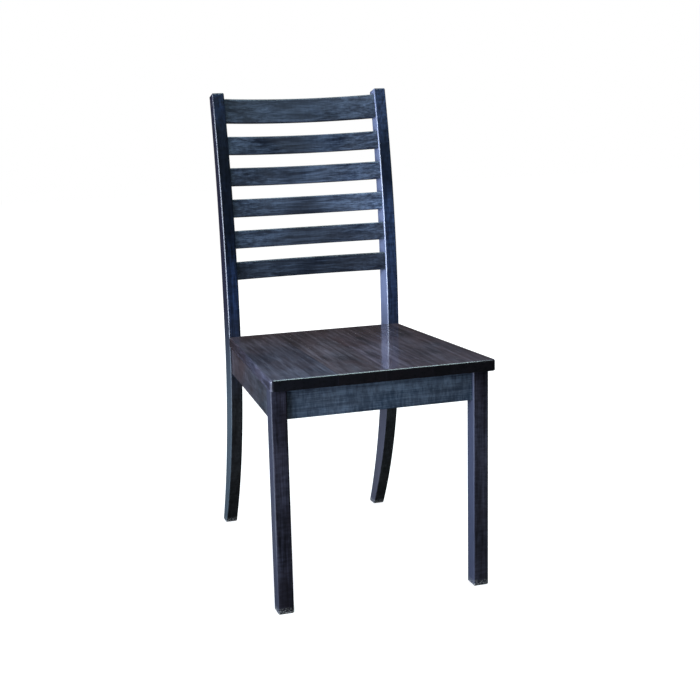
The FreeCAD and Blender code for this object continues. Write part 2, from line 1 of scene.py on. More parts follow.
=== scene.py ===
# %% [markdown]
# # A ladderback dining chair
# The chair is plain joinery: two swept rear posts sawn from plank, six bent slats tenoned
# between them, two square front legs, a frame of four aprons with corner blocks, and a seat
# glued up from four boards. It has a blue-black stain under satin lacquer. The wooden pieces
# come from the construction model, where their joints are. This file gives them their finish,
# makes the screws with real threads, and sets up the studio.

import math

import bpy
import numpy as np
from mathutils import Matrix, Vector


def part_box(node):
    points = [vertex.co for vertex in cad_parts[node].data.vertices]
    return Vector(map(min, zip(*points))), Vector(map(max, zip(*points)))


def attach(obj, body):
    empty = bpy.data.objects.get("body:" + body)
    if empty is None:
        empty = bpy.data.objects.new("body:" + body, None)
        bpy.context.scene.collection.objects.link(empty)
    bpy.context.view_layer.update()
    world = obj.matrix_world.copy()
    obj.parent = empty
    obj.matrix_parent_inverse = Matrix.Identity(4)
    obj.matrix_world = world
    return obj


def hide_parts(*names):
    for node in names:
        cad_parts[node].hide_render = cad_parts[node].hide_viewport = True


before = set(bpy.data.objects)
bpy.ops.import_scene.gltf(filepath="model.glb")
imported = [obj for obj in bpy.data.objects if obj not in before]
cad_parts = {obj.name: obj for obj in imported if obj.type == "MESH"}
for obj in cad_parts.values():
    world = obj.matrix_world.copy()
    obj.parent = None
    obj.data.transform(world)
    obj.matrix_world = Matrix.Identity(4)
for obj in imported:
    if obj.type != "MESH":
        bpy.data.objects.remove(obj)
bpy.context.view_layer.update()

# %% [markdown]
# ## The camera
# The photo is taken from the front, a little to the chair's left and above the seat. It was
# cropped after it was taken, so the lens axis isn't in the middle of the picture: a small
# sideways shift of the lens does the same. The place and turn come from a fit of the chair's
# known sizes to its edges in the photo.

# %% Camera
scene = bpy.context.scene

CAMERA_PLACE = Vector((-0.7229, -2.2488, 0.9201))
CAMERA_AZIMUTH = math.radians(14.98)     # turned to the right of straight ahead
CAMERA_TILT = math.radians(11.41)        # looking down
CAMERA_ROLL = math.radians(-2.05)        # the photo leans a little
SENSOR_WIDTH = 36.0                      # millimetres, like the lens
LENS = 59.81
SIDE_SHIFT = 0.1                         # share of the picture's width


def aim(azimuth, tilt, roll):
    """Turn whose columns are the camera's right, up and backward directions.

    The view direction comes from azimuth and tilt, right is level, and roll turns right and up
    about the view direction.
    """
    ahead = Vector((math.sin(azimuth) * math.cos(tilt),
                    math.cos(azimuth) * math.cos(tilt),
                    -math.sin(tilt)))
    level = ahead.cross(Vector((0, 0, 1))).normalized()
    upright = level.cross(ahead)
    right = math.cos(roll) * level + math.sin(roll) * upright
    up = math.cos(roll) * upright - math.sin(roll) * level
    return Matrix((right, up, -ahead)).transposed().to_4x4()


lens = bpy.data.cameras.new("photo_camera")
lens.sensor_width = SENSOR_WIDTH
lens.lens = LENS
lens.shift_x = SIDE_SHIFT
camera = bpy.data.objects.new("photo_camera", lens)
turn = aim(CAMERA_AZIMUTH, CAMERA_TILT, CAMERA_ROLL)
camera.matrix_world = Matrix.Translation(CAMERA_PLACE) @ turn
scene.collection.objects.link(camera)
scene.camera = camera
print("camera at", tuple(round(number, 3) for number in CAMERA_PLACE))

# %% [markdown]
# ## Helpers for materials
# A material is a small graph of nodes. Three helpers keep the graphs short to write: one adds a
# node with its values, one joins two sockets, and one starts an empty graph.

# %% Node helpers


def add(tree, kind, values=None, **settings):
    """New node of a kind, with its settings and the values of its input sockets."""
    node = tree.nodes.new(kind)
    for name, setting in settings.items():
        setattr(node, name, setting)
    for socket, number in (values or {}).items():
        node.inputs[socket].default_value = number
    return node


def join(tree, start, end):
    """Link from an output socket to an input socket."""
    tree.links.new(start, end)


def empty_material(name):
    """Material with an empty node tree and its output node."""
    material = bpy.data.materials.new(name)
    material.use_nodes = True
    material.node_tree.nodes.clear()
    output = add(material.node_tree, "ShaderNodeOutputMaterial")
    return material, material.node_tree, output


# %% [markdown]
# Four more helpers work on colours and values. Each takes sockets or plain numbers and gives
# the socket with the result.

# %% Colour and value helpers


def srgb(red, green, blue):
    """Colour as a picture gives it, 0 to 255, turned into the linear numbers a shader takes."""
    parts = np.array([red, green, blue]) / 255
    linear = np.where(parts <= 0.04045, parts / 12.92, ((parts + 0.055) / 1.055) ** 2.4)
    return (*linear.tolist(), 1.0)


def mix_colours(tree, factor, first, second):
    """Colour between two colours or colour sockets, by a factor socket or number."""
    node = add(tree, "ShaderNodeMix", data_type="RGBA")
    for value, socket in ((factor, 0), (first, 6), (second, 7)):
        if isinstance(value, bpy.types.NodeSocket):
            join(tree, value, node.inputs[socket])
        else:
            node.inputs[socket].default_value = value
    return node.outputs[2]


def ramp(tree, value, low, high, start=0.0, end=1.0):
    """Value moved from the range low to high onto start to end, and held there."""
    node = add(tree, "ShaderNodeMapRange", {1: low, 2: high, 3: start, 4: end}, clamp=True)
    join(tree, value, node.inputs[0])
    return node.outputs[0]


def combine(tree, operation, first, second):
    """Sum, product or other operation on two sockets or numbers."""
    node = add(tree, "ShaderNodeMath", operation=operation)
    for socket, value in enumerate((first, second)):
        if isinstance(value, bpy.types.NodeSocket):
            join(tree, value, node.inputs[socket])
        else:
            node.inputs[socket].default_value = value
    return node.outputs[0]


# %% [markdown]
# ## Wood figure
# The chair is a fine, even hardwood, so the stain shows as long soft streaks, short thin pores,
# faint ripples across the grain, broad changes of depth, and clouds where the warm wood shows
# through. All of these are noise stretched along or across the grain. One node group makes them
# from a place in the wood whose Z axis runs along the grain. Each piece has its own seed, so no
# two match.

# %% Figure group
SEED_STEP = (1.7, 2.3, 0.9)     # metres between the noise of one seed and the next

# Change across the grain and along it per metre, then detail, roughness and twist of the noise
WIDE_NOISE = (130.0, 4.0, 3.0, 0.6, 0.5)
FINE_NOISE = (460.0, 16.0, 3.0, 0.65)
PORE_NOISE = (1700.0, 55.0, 1.0, 0.5)
CLOUD_NOISE = (22.0, 9.0, 3.0, 0.6, 0.6)
RIPPLE_NOISE = (55.0, 210.0, 2.0, 0.55)
DEPTH_NOISE = (9.0, 8.0, 2.0, 0.55)
WAVE_NOISE = (60.0, 60.0, 1.0, 0.5)

# Values of the noise between which each turns from none to full
STREAK_SPAN = (0.40, 0.60)
PORE_SPAN = (0.60, 0.72)
CLOUD_SPAN = (0.35, 0.65)
RIPPLE_SPAN = (0.38, 0.62)
DEPTH_SPAN = (0.36, 0.64)

WIDE_SHARE = 0.5                # share of wide streaks, the rest being fine ones
FINE_RELIEF = 0.35              # how far the fine streaks stand up
PORE_RELIEF = 0.5               # how far the pores sink in


def stretched_noise(tree, place, across, along, detail, roughness, distortion=0.0):
    """Noise that changes across the grain and along it at its own rate, per metre."""
    stretch = {1: (across, across, along)}
    scaled = add(tree, "ShaderNodeVectorMath", stretch, operation="MULTIPLY")
    join(tree, place, scaled.inputs[0])
    noise = add(tree, "ShaderNodeTexNoise",
                {"Scale": 1.0, "Detail": detail, "Roughness": roughness, "Distortion": distortion})
    join(tree, scaled.outputs[0], noise.inputs["Vector"])
    return noise.outputs["Fac"]


def build_figure_group():
    """Group: place and seed in; streaks, pores, clouds, ripple, depths, wave and height out."""
    tree = bpy.data.node_groups.new("wood_figure", "ShaderNodeTree")
    tree.interface.new_socket("Place", in_out="INPUT", socket_type="NodeSocketVector")
    tree.interface.new_socket("Seed", in_out="INPUT", socket_type="NodeSocketFloat")
    for name in ("Streaks", "Pores", "Clouds", "Ripple", "Depths", "Wave", "Height"):
        tree.interface.new_socket(name, in_out="OUTPUT", socket_type="NodeSocketFloat")
    entry = add(tree, "NodeGroupInput")
    leave = add(tree, "NodeGroupOutput")
    shift = add(tree, "ShaderNodeVectorMath", {0: SEED_STEP}, operation="SCALE")
    join(tree, entry.outputs["Seed"], shift.inputs["Scale"])
    place = add(tree, "ShaderNodeVectorMath", operation="ADD")
    join(tree, entry.outputs["Place"], place.inputs[0])
    join(tree, shift.outputs[0], place.inputs[1])
    place = place.outputs[0]
    wide = stretched_noise(tree, place, *WIDE_NOISE)
    fine = stretched_noise(tree, place, *FINE_NOISE)
    streaks = combine(tree, "ADD", combine(tree, "MULTIPLY", wide, WIDE_SHARE),
                      combine(tree, "MULTIPLY", fine, 1 - WIDE_SHARE))
    streaks = ramp(tree, streaks, *STREAK_SPAN)
    pores = ramp(tree, stretched_noise(tree, place, *PORE_NOISE), *PORE_SPAN)
    clouds = ramp(tree, stretched_noise(tree, place, *CLOUD_NOISE), *CLOUD_SPAN)
    ripple = ramp(tree, stretched_noise(tree, place, *RIPPLE_NOISE), *RIPPLE_SPAN)
    depths = ramp(tree, stretched_noise(tree, place, *DEPTH_NOISE), *DEPTH_SPAN)
    height = combine(tree, "SUBTRACT", combine(tree, "MULTIPLY", fine, FINE_RELIEF),
                     combine(tree, "MULTIPLY", pores, PORE_RELIEF))
    wave = stretched_noise(tree, place, *WAVE_NOISE)
    for name, value in (("Streaks", streaks), ("Pores", pores), ("Clouds", clouds),
                        ("Ripple", ripple), ("Depths", depths), ("Wave", wave), ("Height", height)):
        join(tree, value, leave.inputs[name])
    return tree


figure_group = build_figure_group()
print("figure group sockets:", [item.name for item in figure_group.interface.items_tree])

# %% [markdown]
# ## Where the colour changes
# The colour isn't the same all over a piece. One face is paler or darker: painted light on the
# left faces of posts and legs, end grain on the seat's front. A post is darker over a stretch,
# the stain gathered in the joints of the seat, and it is rubbed off at the feet. Each of these
# is a mask made from the place along an axis.

# %% Masks by place
SCUFF = srgb(176, 176, 170)
SCUFF_LOW, SCUFF_HIGH = 0.003, 0.014     # heights between which the scuffs at a foot fade out
SCUFF_SPECKS = 420.0                     # specks in a metre
SCUFF_SPAN = (0.51, 0.57)                # values of the noise between which a speck fades in


def axis_ramp(tree, place, axis, full, none):
    """One at the place full along an axis and past it, falling evenly to zero at none."""
    parts = add(tree, "ShaderNodeSeparateXYZ")
    join(tree, place, parts.inputs[0])
    return ramp(tree, parts.outputs[axis], none, full)


def beside(tree, place, planes, width):
    """One at two planes across the X axis, falling to zero at a width inwards from them."""
    low, high = planes
    return combine(tree, "ADD", axis_ramp(tree, place, "X", low, low + width),
                   axis_ramp(tree, place, "X", high, high - width))


def scuffs(tree, place, colour):
    """Pale specks where the floor has rubbed the rims of the feet."""
    specks = add(tree, "ShaderNodeTexNoise", {"Scale": SCUFF_SPECKS, "Detail": 3.0})
    join(tree, place, specks.inputs["Vector"])
    rim = axis_ramp(tree, place, "Z", SCUFF_LOW, SCUFF_HIGH)
    rubbed = combine(tree, "MULTIPLY", rim, ramp(tree, specks.outputs["Fac"], *SCUFF_SPAN))
    return mix_colours(tree, rubbed, colour, SCUFF)


# %% [markdown]
# ## Colour of the stain
# Streaks, ripples and broad depths share the change from the dark tone to the light one. The
# share is raised to a power, because a wiped stain is dark over most of the wood. A warm brown
# wood shows through in clouds, and the pores are darkest.

# %% Stain
STREAK_AND_RIPPLE = 0.65     # their part of the share
DEPTHS = 0.35                # the broad depths' part of it
WIPING = 1.7                 # power of the share
CLOUDS = 0.4                 # how much of the warm wood shows
PORES = 0.5                  # how much of the pores' tone shows in them
PORE_TONE = 0.4              # that tone, as a share of the dark one


def stain(tree, figure, tones, face, cross):
    """Colour of stained wood. The tones are dark, light, the warm wood, and a face's own.

    face is the mask of that face, or None. A face's tone is painted light on the left faces of
    posts and legs, and end grain on the seat's front. cross is the share of ripple.
    """
    dark, light, warm, painted_light_and_end_grain_tone = tones
    streaks = combine(tree, "MULTIPLY", figure.outputs["Streaks"], STREAK_AND_RIPPLE - cross)
    ripple = combine(tree, "MULTIPLY", figure.outputs["Ripple"], cross)
    depths = combine(tree, "MULTIPLY", figure.outputs["Depths"], DEPTHS)
    share = combine(tree, "ADD", combine(tree, "ADD", streaks, ripple), depths)
    colour = mix_colours(tree, combine(tree, "POWER", share, WIPING), dark, light)
    clouds = combine(tree, "MULTIPLY", figure.outputs["Clouds"], CLOUDS)
    colour = mix_colours(tree, clouds, colour, warm)
    if face is not None:
        colour = mix_colours(tree, face, colour, painted_light_and_end_grain_tone)
    depth = combine(tree, "MULTIPLY", figure.outputs["Pores"], PORES)
    pore_tone = tuple(PORE_TONE * part for part in dark[:3]) + (1.0,)
    return mix_colours(tree, depth, colour, pore_tone)


# %% [markdown]
# ## Stained and lacquered wood
# The lacquer over the stain is satin: a coat that mirrors lamps softly, over wood that shines
# little by itself. A turn of the coordinates lines the grain up with each piece: upright in
# posts and legs, across in slats and end aprons, front to back in the seat and side aprons.
# The arrises are shaded as if sanding had rounded them, except where two boards are glued.

# %% Stained wood
GRAIN_TURNS = {
    "up": (0.0, 0.0, 0.0),
    "across": (0.0, math.radians(-90), 0.0),
    "back": (math.radians(90), 0.0, 0.0),
}
FACE_START, FACE_END = 0.0006, 0.0022     # depths between which a face's tone (painted light on left faces, end grain on the seat) fades out
FACE_LEAST = 0.78            # least share of a face's tone, between its streaks
DEEP_FADE = 0.06             # height over which a darker stretch fades in
DEEP_DEPTH = 0.8             # share of the dark tone in it
SEAM = 0.0011                # width of the dark line beside a joint between boards
SEAM_DEPTH = 0.7             # share of the dark tone in it
ARRIS_RADIUS = 0.0018        # sanding softens the small flats on the arrises
ARRIS_SAMPLES = 6
GLUED = 0.1                  # share of the way to a joint past which an arris stays sharp
BUMP_HEIGHT = 0.0004         # height of the sanding waves, and of the grain
WAVE_STRENGTH, GRAIN_STRENGTH = 1.0, 0.12
SHEEN = 0.2                  # shine of the wood under the lacquer
SMOOTHER, DULLER = 0.04, 0.06             # how far the streaks change the roughness


def wood_normal(tree, place, figure, seams, wave):
    """Normal of sanded wood: soft arrises, then the waves of sanding, then the grain."""
    soft_arris = add(tree, "ShaderNodeBevel", {"Radius": ARRIS_RADIUS}, samples=ARRIS_SAMPLES)
    if seams is not None:
        glued = beside(tree, place, seams, 2 * ARRIS_RADIUS)
        radius = ramp(tree, glued, 0.0, GLUED, ARRIS_RADIUS, 0.0)
        join(tree, radius, soft_arris.inputs["Radius"])
    normal = soft_arris.outputs["Normal"]
    for relief, strength in (("Wave", WAVE_STRENGTH), ("Height", GRAIN_STRENGTH)):
        bump = add(tree, "ShaderNodeBump", {"Strength": strength, "Distance": BUMP_HEIGHT * wave})
        join(tree, figure.outputs[relief], bump.inputs["Height"])
        join(tree, normal, bump.inputs["Normal"])
        normal = bump.outputs["Normal"]
    return normal


def stained_wood(name, grain, seed, tones, turning=None, face=None, deep=None, seams=None,
                 on_floor=False, cross=0.2, wave=1.0, roughness=0.42,
                 coat=0.6, coat_roughness=0.16):
    """Material for one piece.

    turning gives second tones, an axis, and the two places between which they take over. face
    gives the axis and place of a face with a tone of its own: painted light on the left faces of
    posts and legs, end grain on the seat's front. deep gives the two heights between which the
    colour is darker, and seams the two sides of a board, where the stain gathered in the joint.
    on_floor rubs the feet. cross is the share of ripple across the grain, and wave is how uneven
    the sanded surface is.
    """
    material, tree, output = empty_material(name)
    place = add(tree, "ShaderNodeTexCoord").outputs["Object"]
    turn = add(tree, "ShaderNodeMapping", {"Rotation": GRAIN_TURNS[grain]})
    join(tree, place, turn.inputs["Vector"])
    figure = add(tree, "ShaderNodeGroup", node_tree=figure_group)
    figure.inputs["Seed"].default_value = seed
    join(tree, turn.outputs["Vector"], figure.inputs["Place"])
    mask = None
    # A face's tone: painted light on the left faces of posts and legs, end grain on the seat's
    # front
    if face is not None:
        axis, plane = face
        uneven = ramp(tree, figure.outputs["Streaks"], 0.0, 1.0, FACE_LEAST, 1.0)
        near_face = axis_ramp(tree, place, axis, plane + FACE_START, plane + FACE_END)
        mask = combine(tree, "MULTIPLY", near_face, uneven)
    colour = stain(tree, figure, tones, mask, cross)
    if turning is not None:
        second_tones, axis, full, none = turning
        colour = mix_colours(tree, axis_ramp(tree, place, axis, full, none), colour,
                             stain(tree, figure, second_tones, mask, cross))
    if deep is not None:
        low, high = deep
        band = combine(tree, "MULTIPLY", axis_ramp(tree, place, "Z", low + DEEP_FADE, low),
                       axis_ramp(tree, place, "Z", high - DEEP_FADE, high))
        if mask is not None:
            band = combine(tree, "MULTIPLY", band, combine(tree, "SUBTRACT", 1.0, mask))
        colour = mix_colours(tree, combine(tree, "MULTIPLY", band, DEEP_DEPTH), colour, tones[0])
    if seams is not None:
        line = beside(tree, place, seams, SEAM)
        colour = mix_colours(tree, combine(tree, "MULTIPLY", line, SEAM_DEPTH), colour, tones[0])
    if on_floor:
        colour = scuffs(tree, place, colour)
    shine = {"Specular IOR Level": SHEEN, "Coat Weight": coat, "Coat Roughness": coat_roughness}
    shader = add(tree, "ShaderNodeBsdfPrincipled", shine)
    join(tree, colour, shader.inputs["Base Color"])
    dullness = ramp(tree, figure.outputs["Streaks"], 0.0, 1.0,
                    roughness - SMOOTHER, roughness + DULLER)
    join(tree, dullness, shader.inputs["Roughness"])
    normal = wood_normal(tree, place, figure, seams, wave)
    join(tree, normal, shader.inputs["Normal"])
    join(tree, normal, shader.inputs["Coat Normal"])
    join(tree, shader.outputs["BSDF"], output.inputs["Surface"])
    return material


def finish(node, material):
    """Give a node of the frame its material."""
    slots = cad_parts[node].material_slots
    slots[0].link = "OBJECT"
    slots[0].material = material
    print(node, "has", material.name)


# %% [markdown]
# ## Posts and legs
# Each has four tones: dark, light, the warm wood, and the painted light of its left face. The
# posts turn from navy above the seat to near black below it, which is painted shade under the
# seat, and are darkest over a stretch of the upright. The front legs are a purple black.

# %% Posts and legs
# The fourth tone of each side is painted light on the left face.
POST_TONES = {
    "left": (srgb(1, 4, 11), srgb(42, 60, 96), srgb(20, 24, 36), srgb(40, 38, 52)),
    "right": (srgb(3, 7, 18), srgb(67, 85, 124), srgb(34, 38, 56), srgb(124, 132, 160)),
}
# Painted shade under the seat on the posts; the fourth tone is painted light on the left face.
UNDER_SEAT_SHADE_TONES = {
    "left": (srgb(9, 10, 10), srgb(52, 54, 54), srgb(40, 37, 38), srgb(78, 90, 98)),
    "right": (srgb(11, 12, 12), srgb(58, 60, 60), srgb(44, 40, 42), srgb(84, 84, 96)),
}
# The fourth tone of each side is painted light on the left face.
LEG_TONES = {
    "left": (srgb(11, 11, 17), srgb(74, 74, 90), srgb(54, 48, 56), srgb(58, 60, 72)),
    "right": (srgb(14, 14, 20), srgb(84, 84, 100), srgb(56, 50, 58), srgb(74, 79, 98)),
}
DEEP_STRETCH = {"left": (0.62, 0.95), "right": (0.71, 0.91)}     # heights of its ends
SEAT_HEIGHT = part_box("seat_board_2")[1][2]
SEAT_SHADE_FULL = SEAT_HEIGHT - 0.15     # heights between which a post turns to its painted shade under the seat
SEAT_SHADE_NONE = SEAT_HEIGHT + 0.06
POST_SEED, LEG_SEED = 1.0, 3.0
for number, side in enumerate(("left", "right")):
    post = f"rear_post_{side}"
    # Painted shade below the seat, and painted light on the left face
    painted_shade_below_seat = (UNDER_SEAT_SHADE_TONES[side], "Z", SEAT_SHADE_FULL, SEAT_SHADE_NONE)
    painted_light_left_face = ("X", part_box(post)[0][0])
    finish(post, stained_wood("stained_" + post, "up", POST_SEED + number, POST_TONES[side],
                              painted_shade_below_seat, painted_light_left_face, DEEP_STRETCH[side], on_floor=True, coat=0.8))
    leg = f"front_leg_{side}"
    finish(leg, stained_wood("stained_" + leg, "up", LEG_SEED + number, LEG_TONES[side],
                             face=("X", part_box(leg)[0][0]), on_floor=True))

# %% [markdown]
# ## Slats
# Each slat has its own lightness, and all have painted light towards their right end.

# %% Slats
SLAT_DARK, SLAT_LIGHT, SLAT_WARM = (13, 19, 34), (104, 118, 144), (62, 64, 72)
SLAT_DEPTHS = (0.72, 0.85, 0.95, 0.90, 0.82, 0.70)     # lightness of slats 1 to 6
SLAT_RIGHT_PAINTED_LIGHT = 1.25                                      # painted light: lightness of the right end over the left
SLAT_END, SLAT_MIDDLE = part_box("back_slat_1")[1][0], 0.0
SLAT_SEED = 10.0


def slat_tones(depth):
    """Dark, light and warm tone of a slat, each times a lightness, and none for a face."""
    tones = np.outer(depth, (SLAT_DARK, SLAT_LIGHT, SLAT_WARM)).reshape(3, 3)
    return (*(srgb(*tone) for tone in tones), None)


for number, depth in enumerate(SLAT_DEPTHS, start=1):
    node = f"back_slat_{number}"
    # Painted light on the right half of each slat
    painted_light_right = (slat_tones(SLAT_RIGHT_PAINTED_LIGHT * depth), "X", SLAT_END, SLAT_MIDDLE)
    finish(node, stained_wood("stained_" + node, "across", SLAT_SEED + number,
                              slat_tones(depth), painted_light_right, cross=0.07))

# %% [markdown]
# ## Aprons
# The end aprons are teal, with the strongest ripples. The side ones turn browner to the rear.

# %% Aprons
APRON_TONES = (srgb(28, 44, 62), srgb(126, 146, 166), srgb(76, 80, 88), None)
APRON_SEED, SIDE_SEED = 20.0, 24.0
for number, node in enumerate(("front_apron", "rear_apron")):
    finish(node, stained_wood("stained_" + node, "across", APRON_SEED + number, APRON_TONES,
                              cross=0.26))

SIDE_TONES = (srgb(26, 29, 34), srgb(92, 98, 108), srgb(70, 62, 62), None)
SIDE_REAR_TONES = (srgb(30, 26, 28), srgb(94, 86, 92), srgb(78, 60, 58), None)
SIDE_TURNING = ("Y", 0.05, -0.15)     # places from which the rear tones are full and none
for number, node in enumerate(("side_apron_left", "side_apron_right")):
    finish(node, stained_wood("stained_" + node, "back", SIDE_SEED + number, SIDE_TONES,
                              (SIDE_REAR_TONES, *SIDE_TURNING)))

# %% [markdown]
# ## Seat
# The boards differ a little, are browner at the rear, and end in near black end grain at the
# front. Only sides that are glued to another board get a seam: the outer sides of the first
# and last board have theirs placed off the board. The seat has the smoothest, glossiest coat.

# %% Seat
OFF_BOARD = 1.0                # a place that no board reaches
SEAT_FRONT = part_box("seat_board_1")[0][1]
END_GRAIN = srgb(3, 4, 5)      # sawn ends drink more stain
SEAT_TONES = {
    1: (srgb(37, 37, 49), srgb(110, 111, 130), srgb(74, 64, 72), END_GRAIN),
    2: (srgb(40, 36, 43), srgb(110, 106, 120), srgb(86, 67, 71), END_GRAIN),
    3: (srgb(38, 34, 42), srgb(110, 102, 118), srgb(84, 64, 68), END_GRAIN),
    4: (srgb(33, 30, 37), srgb(98, 92, 106), srgb(76, 60, 64), END_GRAIN),
}
SEAT_REAR_TONES = (srgb(34, 28, 31), srgb(86, 74, 81), srgb(76, 55, 57), END_GRAIN)
SEAT_TURNING = ("Y", 0.13, -0.12)
SEAT_SEED = 30.0
for number, tones in SEAT_TONES.items():
    node = f"seat_board_{number}"
    low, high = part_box(node)[0][0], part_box(node)[1][0]
    joints = (low if number > 1 else -OFF_BOARD, high if number < len(SEAT_TONES) else OFF_BOARD)
    finish(node, stained_wood("stained_" + node, "back", SEAT_SEED + number, tones,
                              (SEAT_REAR_TONES, *SEAT_TURNING), ("Y", SEAT_FRONT),
                              seams=joints, cross=0.04, wave=0.3,
                              roughness=0.36, coat=1.0, coat_roughness=0.07))

# %% [markdown]
# ## Corner blocks
# The blocks under the seat are offcuts of the same hardwood, planed and left bare, with a haze
# of stain from the spray gun. They use the same figure with pale tones and no gloss.

# %% Bare wood
BARE_TONES = (srgb(150, 118, 84), srgb(196, 164, 124), srgb(120, 104, 92), None)
BLOCKS = [f"corner_block_{end}_{side}" for end in ("front", "rear") for side in ("left", "right")]
BLOCK_SEED = 40.0
for number, node in enumerate(BLOCKS):
    finish(node, stained_wood("bare_" + node, "across", BLOCK_SEED + number, BARE_TONES,
                              roughness=0.6, coat=0.0))

# %% [markdown]
# ## Screws
# Twelve screws hold the frame and the seat: two through each corner block into the aprons, and
# one up into the seat. Each has a domed head with a cross recess, a rolled thread and a pointed
# tip. Their places, directions and sizes are read from the frame's plain screws.

# %% Where the screws are
HEAD_SHARE = 0.75         # points further out than this share of the widest are on the head


def loose_parts(node):
    """Points of each separate solid of a node.

    Points at one place count as one. Every point starts with its own number, and each triangle
    hands its lowest number to its three corners until nothing changes any more.
    """
    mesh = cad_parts[node].data
    points = np.empty(3 * len(mesh.vertices))
    mesh.vertices.foreach_get("co", points)
    corners = np.empty(len(mesh.loops), int)
    mesh.loops.foreach_get("vertex_index", corners)
    places, number_of = np.unique(points.reshape(-1, 3).round(6), axis=0, return_inverse=True)
    triangles = number_of.reshape(-1)[corners].reshape(-1, 3)
    label = np.arange(len(places))
    changed = True
    while changed:
        lower = label.copy()
        np.minimum.at(lower, triangles, label[triangles].min(axis=1, keepdims=True))
        changed = bool((lower != label).any())
        label = lower
    return [places[label == number] for number in np.unique(label)]


def read_screw(points):
    """Place of the flat under the head, three directions, and sizes of a plain screw.

    The longest side of its box is its axis, and the wider end is its head.
    """
    low, high = points.min(axis=0), points.max(axis=0)
    middle = (low + high) / 2
    axis = int(np.argmax(high - low))
    spread = np.linalg.norm(np.delete(points - middle, axis, axis=1), axis=1)
    wide = spread > HEAD_SHARE * spread.max()
    ahead = 1.0 if points[wide, axis].mean() < middle[axis] else -1.0
    along = ahead * points[:, axis]
    direction = ahead * np.eye(3)[axis]
    side = np.eye(3)[(axis + 1) % 3]
    start = middle.copy()
    start[axis] = ahead * along[wide].max()
    sizes = {
        "head": spread.max(),
        "neck": np.ptp(along[wide]),
        "shank": spread[~wide].max(),
        "length": along.max() - along[wide].max(),
    }
    return start, np.stack([side, np.cross(direction, side), direction]), sizes


screws = {node: [read_screw(part) for part in loose_parts(node)]
          for node in ("corner_block_screws", "seat_screws")}
for node, found in screws.items():
    sizes = {name: round(1000 * float(size), 2) for name, size in found[0][2].items()}
    print(node, len(found), sizes)

# %% [markdown]
# A screw is one surface in rows of points: over the dome and its recess, round the rim, and
# down the thread to the point. A fan of points closes it at each end.

# %% Screw surface
SCREW_SIDES = 48          # points around a screw
HEAD_RINGS = 14           # rings of points from the middle of the head to its rim
FIRST_RING = 0.04         # share of the head's radius
PITCH = 0.0018
THREAD_DEPTH = 0.26       # share of the shank's radius
THREAD_ROWS = 5           # rows of points in each turn of the thread
POINT_LENGTH = 0.006
TIP = 0.06                # share of the shank's radius
RIM_HEIGHT = 0.3          # share of the head's height
RECESS_REACH = 0.60       # share of the head's radius
RECESS_HALF = 0.15        # half width of its arms, share of the head's radius
RECESS_DEPTH = 0.7        # share of the head's height
RECESS_STEEPNESS = 1.3    # more than one leaves the middle of the recess flat
SHARP_ANGLE = math.radians(35)


def screw_rows(sizes):
    """Points of a screw along +Z in rows from the middle of its head to its tip.

    Dome: height = rim + rest of the head * square root of (1 - share of radius squared). Recess:
    full depth in the middle, falling evenly to its reach, inside two crossed bands. Thread:
    radius = shank * (1 - depth * triangle wave of (height / pitch - turn)), falling evenly to
    the tip over the length of the point.
    """
    turn = np.linspace(0, 2 * math.pi, SCREW_SIDES, endpoint=False)
    head, neck = sizes["head"], sizes["neck"]
    share = np.linspace(FIRST_RING, 1.0, HEAD_RINGS)[:, None]
    across, up = head * share * np.cos(turn), head * share * np.sin(turn)
    dome = neck * (RIM_HEIGHT + (1 - RIM_HEIGHT) * np.sqrt(1 - share**2))
    arms = np.minimum(np.abs(across), np.abs(up)) < RECESS_HALF * head
    floor = np.clip(RECESS_STEEPNESS * (1 - share / RECESS_REACH), 0, 1)
    recess = RECESS_DEPTH * neck * floor * arms
    top = np.stack([across, up, recess - dome + 0 * across], axis=-1)

    height = np.linspace(0, sizes["length"], int(THREAD_ROWS * sizes["length"] / PITCH))[:, None]
    phase = (height / PITCH - turn / (2 * math.pi)) % 1
    groove = np.abs(2 * phase - 1)
    point = np.clip((sizes["length"] - height) / POINT_LENGTH, TIP, 1)
    radius = sizes["shank"] * point * (1 - THREAD_DEPTH * groove)
    shank = np.stack([radius * np.cos(turn), radius * np.sin(turn), height + 0 * radius], axis=-1)

    rim = np.stack([head * np.cos(turn), head * np.sin(turn), np.zeros(SCREW_SIDES)], axis=-1)
    return np.concatenate([top, rim[None], shank])


# %% [markdown]
# All the screws of a node make one piece, which stands for that node.

# %% Pieces with all the screws of a node


def make_screws(name, node):
    """One piece that stands for all the screws of a node."""
    points, faces = [], []
    for start, directions, sizes in screws[node]:
        rows = screw_rows(sizes)
        first = sum(map(len, points))
        grid = first + np.arange(len(rows) * SCREW_SIDES).reshape(len(rows), SCREW_SIDES)
        after = np.roll(grid, -1, axis=1)
        quads = np.stack([grid[:-1], after[:-1], after[1:], grid[1:]], axis=-1).reshape(-1, 4)
        faces += quads.tolist() + [grid[0, ::-1].tolist(), grid[-1].tolist()]
        points.append(start + rows.reshape(-1, 3) @ directions)
    mesh = bpy.data.meshes.new(name)
    mesh.from_pydata(np.concatenate(points), [], faces)
    mesh.shade_smooth()
    mesh.set_sharp_from_angle(angle=SHARP_ANGLE)
    piece = bpy.data.objects.new(name, mesh)
    scene.collection.objects.link(piece)
    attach(piece, "root")
    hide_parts(node)
    print(name, len(mesh.polygons), "faces")
    return piece


# %% [markdown]
# The plating is a faint yellow-grey, speckled by tumbling, so noise tints its colour and drives
# its roughness.

# %% Plated steel
ZINC_DARK, ZINC_LIGHT = srgb(150, 146, 130), srgb(196, 192, 176)
ZINC_SPECKS = 900.0       # specks in a metre
ZINC_SPAN = (0.3, 0.7)    # values of the noise between which the roughness changes
ZINC_ROUGHNESS = (0.28, 0.5)


